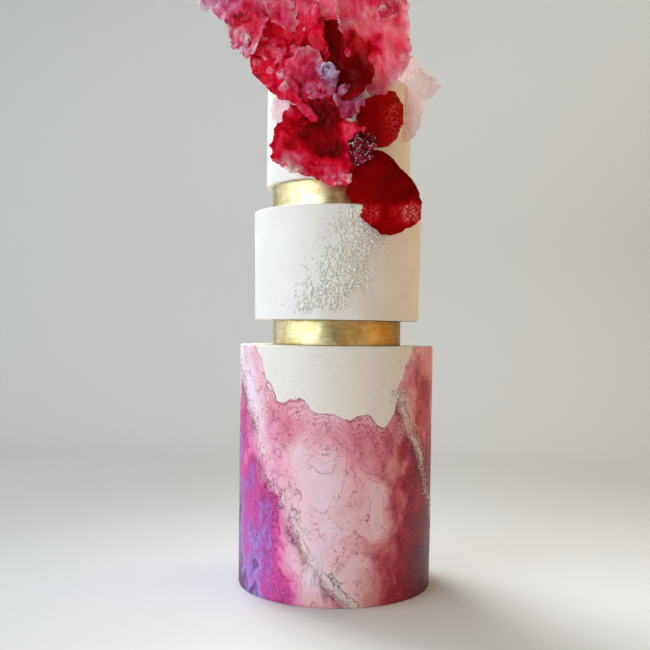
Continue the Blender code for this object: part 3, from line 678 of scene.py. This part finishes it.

# Each sail: its syrup, how thin the sheet is (tone, 0 thick to 1 thin), its share of lilac, how much thinner
# the rim is, its blown blisters (count, small and large radius in mm), the depth of its crinkles and of its
# frilled rim in mm, and its painted spots (x mm, z mm, reach mm, tone, lilac, blistered or not).
# Where given, relief is how strongly the tone paints light on the ridges of the folds and shade in their
# hollows.
SAIL_LOOKS = {
    "crimson_sail": dict(
        syrup="crimson", tone=0.42, lilac=0.0, rim=-0.04, blisters=(40, 3.0, 5.5), crinkle=2.0, frill=1.4,
        spots=((-24, 592, 16, 0.72, 0, 0), (-36, 575, 8, 0.58, 0, 0), (-67, 569, 22, 0.45, 0, 0),
               (-80, 585, 14, 0.44, 0, 0), (-41, 563, 12, 0.46, 0, 0), (-73, 522, 20, 0.64, 0, 1),
               (-79, 545, 14, 0.46, 0, 1), (-55, 511, 15, 0.62, 0, 1), (-54, 537, 16, 0.42, 0, 1),
               (-21, 573, 8, 0.14, 0, 0), (-89, 519, 6, 0.14, 0, 0), (-41, 502, 9, 0.16, 0, 0),
               (-64, 496, 8, 0.28, 0, 0))),
    "rose_sail": dict(
        syrup="rose", tone=0.74, lilac=0.0, rim=0.08, blisters=(16, 2.0, 5.0), crinkle=2.4, frill=2.4,
        spots=((25, 545, 10, 0.28, 0, 0), (37, 551, 8, 0.34, 0, 0), (7, 548, 8, 0.10, 0, 0),
               (54, 530, 16, 0.72, 0, 0), (49, 509, 10, 0.66, 0, 0), (66, 572, 12, 0.78, 0, 0),
               (30, 578, 14, 0.76, 0, 0), (9, 578, 12, 0.66, 0, 0), (37, 578, 4, 0.90, 0, 1),
               (33, 606, 20, 0.56, 0, 1), (46, 594, 10, 0.34, 0, 1))),
    "ruby_blade": dict(
        syrup="ruby", tone=0.12, lilac=0.0, rim=-0.05, blisters=(34, 1.0, 2.2), crinkle=1.2, frill=0.35,
        spots=((31, 382, 10, 0.46, 0, 1), (68, 383, 11, 0.80, 0, 1), (51, 414, 25, 0.08, 0, 0),
               (22, 404, 14, 0.20, 0, 0), (55, 365, 9, 0.26, 0, 0), (31, 434, 9, 0.18, 0, 0),
               (66, 400, 12, 0.06, 0, 0))),
    "ruby_shell": dict(
        syrup="thick", tone=0.36, lilac=0.0, rim=0.06, blisters=(30, 1.6, 3.6), crinkle=2.0, crease=1.6,
        frill=2.4, relief=0.085,
        spots=((-54, 449, 15, 0.37, 0, 0), (-20, 464, 22, 0.05, 0, 0), (-2, 482, 12, 0.08, 0, 0),
               (-6, 452, 14, 0.08, 0, 0), (-49, 476, 7, 0.50, 0, 0), (-46, 423, 13, 0.86, 0, 0),
               (-27, 431, 10, 0.60, 0, 0.4), (-9, 420, 13, 0.60, 0, 0.4), (8, 411, 9, 0.58, 0, 0.6),
               (6, 428, 7, 0.30, 0, 0), (14, 446, 8, 0.50, 0, 0), (8, 462, 8, 0.56, 0, 0))),
    "deep_red_sail": dict(
        syrup="ruby", tone=0.06, lilac=0.0, rim=0.06, blisters=(0, 1.0, 1.0), crinkle=1.6, frill=1.2,
        spots=((-21, 556, 12, 0.24, 0, 0), (4, 527, 22, 0.0, 0, 0), (-10, 502, 12, 0.04, 0, 0),
               (20, 547, 11, 0.52, 0, 0))),
    "pink_crest": dict(
        syrup="rose", tone=0.62, lilac=0.0, rim=0.1, blisters=(14, 2.0, 5.0), crinkle=2.6, frill=2.6,
        spots=((-23, 587, 16, 0.78, 0, 0), (-42, 594, 13, 0.62, 0, 0), (-57, 577, 12, 0.50, 0, 0),
               (-11, 573, 8, 0.28, 0, 0), (-17, 612, 18, 0.60, 0, 0), (-52, 619, 18, 0.56, 0.1, 0))),
    "mauve_sail": dict(
        syrup="lilac", tone=0.38, lilac=0.22, rim=0.20, blisters=(8, 3.5, 6.0), crinkle=2.2, crease=1.8,
        frill=1.6,
        spots=((-38, 513, 14, 0.32, 0.2, 0), (-30, 538, 10, 0.66, 0.1, 0), (-14, 515, 7, 0.70, 0.8, 0),
               (-26, 496, 9, 0.30, 0.4, 0), (-48, 528, 9, 0.54, 0.1, 0), (-50, 508, 8, 0.54, 0.1, 0))),
    "blush_veil": dict(
        syrup="blush", tone=0.82, lilac=0.1, rim=0.12, blisters=(6, 2.0, 4.0), crinkle=2.0, frill=2.4,
        spots=((88, 514, 16, 0.90, 0, 0), (73, 478, 14, 0.84, 0, 0), (77, 540, 12, 0.80, 0, 0),
               (47, 452, 12, 0.72, 0, 0))),
    "ruby_disc": dict(
        syrup="ruby", tone=0.20, lilac=0.0, rim=0.04, blisters=(30, 0.9, 1.8), crinkle=1.2, frill=0.7,
        spots=((31, 494, 12, 0.30, 0, 0), (30, 472, 14, 0.12, 0, 0), (48, 474, 12, 0.46, 0, 1),
               (54, 458, 8, 0.40, 0, 1), (58, 490, 6, 0.44, 0, 1))),
    "lilac_frill": dict(
        syrup="lilac", tone=0.62, lilac=0.2, rim=0.14, blisters=(24, 1.5, 4.0), crinkle=3.0, crease=2.0,
        frill=3.2,
        spots=((-103, 586, 9, 0.24, 0, 1), (-123, 600, 12, 0.66, 0.5, 0), (-91, 574, 12, 0.40, 0, 0),
               (-104, 553, 11, 0.64, 0.45, 1), (-140, 600, 10, 0.80, 0.7, 0),
               (-112, 569, 10, 0.56, 0.2, 0))),
    "pearl_veil": dict(
        syrup="blush", tone=0.92, lilac=0.6, rim=0.05, blisters=(4, 1.5, 3.0), crinkle=1.2, frill=1.8,
        spots=((-59, 490, 12, 0.95, 0.3, 0),)),
    "crimson_curl": dict(
        syrup="crimson", tone=0.46, lilac=0.0, rim=0.3, blisters=(12, 1.0, 3.0), crinkle=2.4, crease=2.0,
        frill=2.0,
        spots=((44, 606, 15, 0.50, 0, 1),)),
    "lavender_crumple": dict(
        syrup="lilac", tone=0.6, lilac=0.6, rim=0.02, blisters=(14, 1.5, 3.6), crinkle=3.0, crease=3.2,
        frill=2.0,
        spots=((4, 490, 9, 0.58, 0.6, 0), (14, 496, 7, 0.76, 0.7, 0), (-2, 479, 7, 0.38, 0.5, 0),
               (15, 475, 7, 0.32, 0.4, 0))),
    "lavender_curl": dict(
        syrup="lilac", tone=0.76, lilac=1.0, rim=0.0, blisters=(8, 1.0, 2.5), crinkle=1.6, crease=2.6,
        frill=1.2,
        spots=((-11, 516, 8, 0.84, 1, 0), (-4, 508, 6, 0.46, 0.8, 0))),
    "blush_sliver": dict(
        syrup="crimson", tone=0.5, lilac=0.0, rim=0.0, blisters=(0, 1.0, 1.0), crinkle=0.8, crease=1.2,
        frill=0.6,
        spots=((-35, 477, 12, 0.56, 0, 0),)),
    "sugared_fold": dict(
        syrup="rose", tone=0.1, lilac=0.3, rim=0.02, blisters=(24, 0.8, 1.8), crinkle=2.4, crease=2.8,
        frill=1.8,
        spots=((14, 441, 7, 0.08, 0.4, 0), (23, 433, 8, 0.30, 0.5, 1), (25, 445, 6, 0.20, 0.3, 0))),
}
# The fold at which an edge counts as rim, the cells of the fine mesh, how far in from the rim it frills, and
# the sizes of its waves, creases and nicks and of the paint's wandering, in mm.
RIM_ANGLE = math.radians(50)
SAIL_CELL = 1.45 * MM
FRILL_REACH = 11
WAVE, CREASE, NICK, DRIFT = 17, 6.5, 2.8, 16


def fine_copy(name):
    """The sail's mesh cut into cells of about a millimetre, with the points of its rim."""
    bm = bmesh.new()
    bm.from_mesh(bpy.data.objects[name].data)
    bmesh.ops.remove_doubles(bm, verts=bm.verts, dist=0.01 * MM)
    bmesh.ops.recalc_face_normals(bm, faces=bm.faces)
    rim = []
    for edge in bm.edges:
        if len(edge.link_faces) == 2 and edge.calc_face_angle(0.0) > RIM_ANGLE:
            a, b = edge.verts[0].co, edge.verts[1].co
            steps = max(1, int((a - b).length / MM))
            rim += [a.lerp(b, k / steps) for k in range(steps + 1)]
    for _ in range(7):
        long = [e for e in bm.edges if e.calc_length() > SAIL_CELL]
        if not long:
            break
        bmesh.ops.subdivide_edges(bm, edges=long, cuts=1, use_grid_fill=False)
        bmesh.ops.triangulate(bm, faces=[f for f in bm.faces if len(f.verts) > 3])
    bmesh.ops.triangulate(bm, faces=bm.faces)
    return bm, rim


def painted_spots(look, points):
    """The tone, lilac and blister values at the points, blended from the sail's spots."""
    values = np.tile(np.array([look["tone"], look["lilac"], 0.0]), (len(points), 1))
    total = np.full(len(points), 0.35)
    mixed = values * total[:, None]
    for x, z, reach, tone, lilac, blistered in look["spots"]:
        away = np.hypot(points[:, 0] - x, points[:, 2] - z) / reach
        weight = 2.2 * np.exp(-away ** 2 * 1.3)
        mixed += weight[:, None] * np.array([tone, lilac, blistered])
        total += weight
    return mixed / total[:, None]


def sheet_facing(points):
    """The direction that the sheet as a whole faces, towards the front of the cake."""
    spread = points - points.mean(axis=0)
    facing = Vector(np.linalg.svd(spread, full_matrices=False)[2][2])
    return facing if facing.y < 0 else -facing


def dress_sail(name, look, syrups, seed):
    """One sail, crinkled, blistered and frilled over its solid, with its paint stored as attributes; the tone
    also paints light on the ridges of its folds and shade in their hollows.
    """
    bm, rim = fine_copy(name)
    bm.normal_update()
    bm.verts.ensure_lookup_table()
    tree = kdtree.KDTree(len(rim))
    for i, point in enumerate(rim):
        tree.insert(point, i)
    tree.balance()
    points = np.array([v.co[:] for v in bm.verts]) * 1000
    # The paint follows wandering borders, not round spots.
    drift = np.array([noise.noise_vector(Vector(p) / DRIFT + Vector((seed, 3, 1)))[:] for p in points])
    values = painted_spots(look, points + drift * 9)
    draw = random.Random(seed)
    count, small, large = look["blisters"]
    dome = np.zeros(len(points))
    zone = np.flatnonzero(values[:, 2] > 0.45)
    if len(zone):
        for _ in range(count):
            radius = small + (large - small) * draw.random() ** 1.6
            away = np.linalg.norm(points - points[zone[draw.randrange(len(zone))]], axis=1) / radius
            dome = np.maximum(dome, np.sqrt(np.clip(1 - away * away, 0, 1)) * radius)
    facing = sheet_facing(points)
    for i, vertex in enumerate(bm.verts):
        rim_distance = tree.find(vertex.co)[2] * 1000
        edge = max(0.0, 1 - rim_distance / FRILL_REACH)
        spot = Vector(points[i])
        wave = noise.noise_vector(spot / WAVE + Vector((seed, 0, 0)))
        crease = noise.noise_vector(spot / CREASE + Vector((0, seed, 0)))
        nick = noise.noise_vector(spot / NICK + Vector((0, 0, seed)))
        move = wave * look["crinkle"] * 0.9 + crease * look.get("crease", look["crinkle"] * 0.35)
        move += (crease * 0.8 + nick * 0.7) * look["frill"] * edge * edge
        move += vertex.normal * min(1.8, float(dome[i]) * 0.5)
        vertex.co += move * MM
        # Painted light and shade: the tone is paled where the sheet bulges towards the front and deepened in
        # its hollows.
        raised = move.dot(facing)
        values[i, 0] += look["rim"] * edge * 1.4 + look.get("relief", 0.065) * raised
    mesh = bpy.data.meshes.new(name + "_sugar")
    bm.to_mesh(mesh)
    bm.free()
    mesh.shade_smooth()
    for column, attribute in enumerate(("tone", "lilac", "blister")):
        column_values = np.ascontiguousarray(values[:, column], dtype=np.float32)
        mesh.attributes.new(attribute, "FLOAT", "POINT").data.foreach_set("value", column_values)
    obj = bpy.data.objects.new(name + "_sugar", mesh)
    bpy.context.scene.collection.objects.link(obj)
    mesh.materials.append(syrups[look["syrup"]])
    dress(obj, name, slot=frame_slot(name))


def make_sails():
    """All the sails, each in its syrup."""
    syrups = {
        "ruby": sugar_sail("ruby_syrup_sail", RUBIES, bubble=2.6, glow=0.22, specular=0.07, streak=0.07),
        "crimson": sugar_sail("crimson_syrup_sail", CRIMSONS, bubble=11.0, glow=0.28, specular=0.12),
        "thick": sugar_sail("thick_crimson_sail", CRIMSONS, bubble=7.0, glow=0.05, specular=0.12,
                            streak=0.09),
        "rose": sugar_sail("rose_syrup_sail", ROSES, bubble=8.0, veil=0.1, glow=0.4, gloss=0.24, streak=0.2),
        "lilac": sugar_sail("lilac_syrup_sail", CRIMSONS, bubble=7.0, veil=0.2, streak=0.2),
        "blush": sugar_sail("blush_syrup_sail", BLUSHES, bubble=4.0, veil=0.78, glow=0.25),
    }
    for seed, (name, look) in enumerate(SAIL_LOOKS.items()):
        dress_sail(name, look, syrups, seed * 11 + 3)


def make_fold_glitter(white, silver):
    """Loose sanding sugar caught on the front of the sugared fold."""
    draw = random.Random(29)
    mesh = bpy.data.objects["sugared_fold_sugar"].data
    front = [p for p in mesh.polygons if p.normal.y < -0.25]
    pale, bright = [], []
    for _ in range(230):
        face = front[draw.randrange(len(front))]
        clump = noise.noise(face.center / (5 * MM))
        if clump < -0.1:
            continue
        width = draw.uniform(0.25, 0.7) * MM
        target = pale if draw.random() < 0.65 else bright
        target.append((face.center + face.normal * width * 0.4, face.normal, width, width * 0.9,
                       draw.uniform(0, FULL_TURN)))
    scatter("sugared_fold_white_sugar", pale, white, slot="rose_sugar")
    scatter("sugared_fold_glitter", bright, silver, smooth=False, slot="rose_sugar")


def stage_surface(name, vertices, faces, code):
    """Matt paint on a plain surface round the cake."""
    made, add = new_material(name + "_paint")
    surface = add("BsdfPrincipled", {"Base Color": hex_colour(code), "Roughness": 0.9})
    add("OutputMaterial", {"Surface": surface})
    mesh_object(name, vertices, faces, made)


# The plain floor and wall round the cake, in metres.
STAGE_HALF_WIDTH = 3.0
FLOOR_FRONT, FLOOR_BACK, WALL_TOP = -3.0, 0.9, 3.0
WALL_BEND, BEND_STEPS = 0.5, 12


def make_stage():
    """A pale floor that sweeps up into a plain wall."""
    profile = [(FLOOR_FRONT, 0.0), (FLOOR_BACK, 0.0)]
    for k in range(1, BEND_STEPS + 1):
        angle = math.radians(90 * k / BEND_STEPS)
        profile.append((FLOOR_BACK + WALL_BEND * math.sin(angle), WALL_BEND * (1 - math.cos(angle))))
    profile.append((FLOOR_BACK + WALL_BEND, WALL_TOP))
    vertices = [(x, y, z) for y, z in profile for x in (-STAGE_HALF_WIDTH, STAGE_HALF_WIDTH)]
    faces = [(2 * i, 2 * i + 1, 2 * i + 3, 2 * i + 2) for i in range(len(profile) - 1)]
    stage_surface("pale_floor_and_wall", vertices, faces, "#DADFE1")


def area_light(name, place, aim, size, power, code, spread=180):
    """A soft rectangular light, in metres, watts and degrees of spread."""
    light = bpy.data.lights.new(name, "AREA")
    light.spread = math.radians(spread)
    light.shape = "RECTANGLE"
    light.size, light.size_y = size
    light.energy = power
    light.color = hex_colour(code)[:3]
    obj = bpy.data.objects.new(name, light)
    obj.location = place
    obj.rotation_euler = (Vector(aim) - Vector(place)).to_track_quat("-Z", "Y").to_euler()
    bpy.context.scene.collection.objects.link(obj)


def light_scene():
    """A pale room with a large window on the left and a warm lamp-lit room on the right."""
    world = bpy.data.worlds.new("soft_room")
    bpy.context.scene.world = world
    world.use_nodes = True
    back = world.node_tree.nodes["Background"]
    back.inputs["Color"].default_value = hex_colour("#DDE3E6")
    back.inputs["Strength"].default_value = 0.115
    area_light("window_left", (-1.76, -1.16, 0.92), (0, 0, 0.35), (2.3, 1.8), 37.6, "#F3FAFF")
    area_light("window_back_left", (-1.7, 0.45, 0.6), (0, 0, 0.35), (1.3, 1.5), 1.8, "#F9FDFF", 100)
    area_light("skylight_behind", (-0.5, 0.75, 1.9), (0, 0, 0.57), (0.9, 0.6), 2.6, "#FFFFFF", 40)
    area_light("warm_room_right", (1.35, 0.0, 0.45), (0, 0, 0.3), (2.6, 2.2), 8.8, "#FFBC2E", 130)
    area_light("warm_room_front", (0.8, -2.3, 0.6), (0, 0, 0.33), (1.9, 1.6), 4.2, "#FFC68C")
    area_light("wall_wash", (0.7, 0.45, 1.9), (0.4, 1.4, -0.3), (2.8, 0.5), 7.9, "#FFFCF6", 120)


def make_camera():
    """The photograph's view: 265 mm up, 941 mm in front of the cake's axis, nearly level, rolled a little."""
    camera = bpy.data.cameras.new("photo_view")
    camera.sensor_width = 36.0
    camera.lens = 48.74
    camera.clip_start = 0.01
    obj = bpy.data.objects.new("photo_view", camera)
    place = Matrix.Translation((-12.5 * MM, -0.941, 0.2655))
    tilt = Matrix.Rotation(math.radians(90.33), 4, "X")
    obj.matrix_world = place @ tilt @ Matrix.Rotation(math.radians(0.7), 4, "Z")
    bpy.context.scene.collection.objects.link(obj)
    bpy.context.scene.camera = obj


def build():
    """The whole dressed cake, its stage, lights and camera."""
    fondant = white_fondant()
    make_tiers(fondant, gold_leaf(), poured_marbling())
    white = sugar_crystal("white_sanding_sugar", "#FCFAF5", "#E6E5DF", 0.35)
    teal = sugar_crystal("teal_glitter_flake", "#B2DAD4", "#6DAAAA", 0.2, 0.3)
    silver = sugar_crystal("silver_glitter_flake", "#D9DAD6", "#9A9C98", 0.2, 0.8)
    magenta = sugar_crystal("dark_magenta_sugar", "#A02A60", "#5E1238", 0.3)
    make_patch(white, teal, silver)
    make_vein_sugar(white, silver, magenta)
    make_sails()
    make_fold_glitter(white, silver)
    make_stage()
    light_scene()
    make_camera()
    bpy.context.scene.view_settings.view_transform = "Standard"


build()
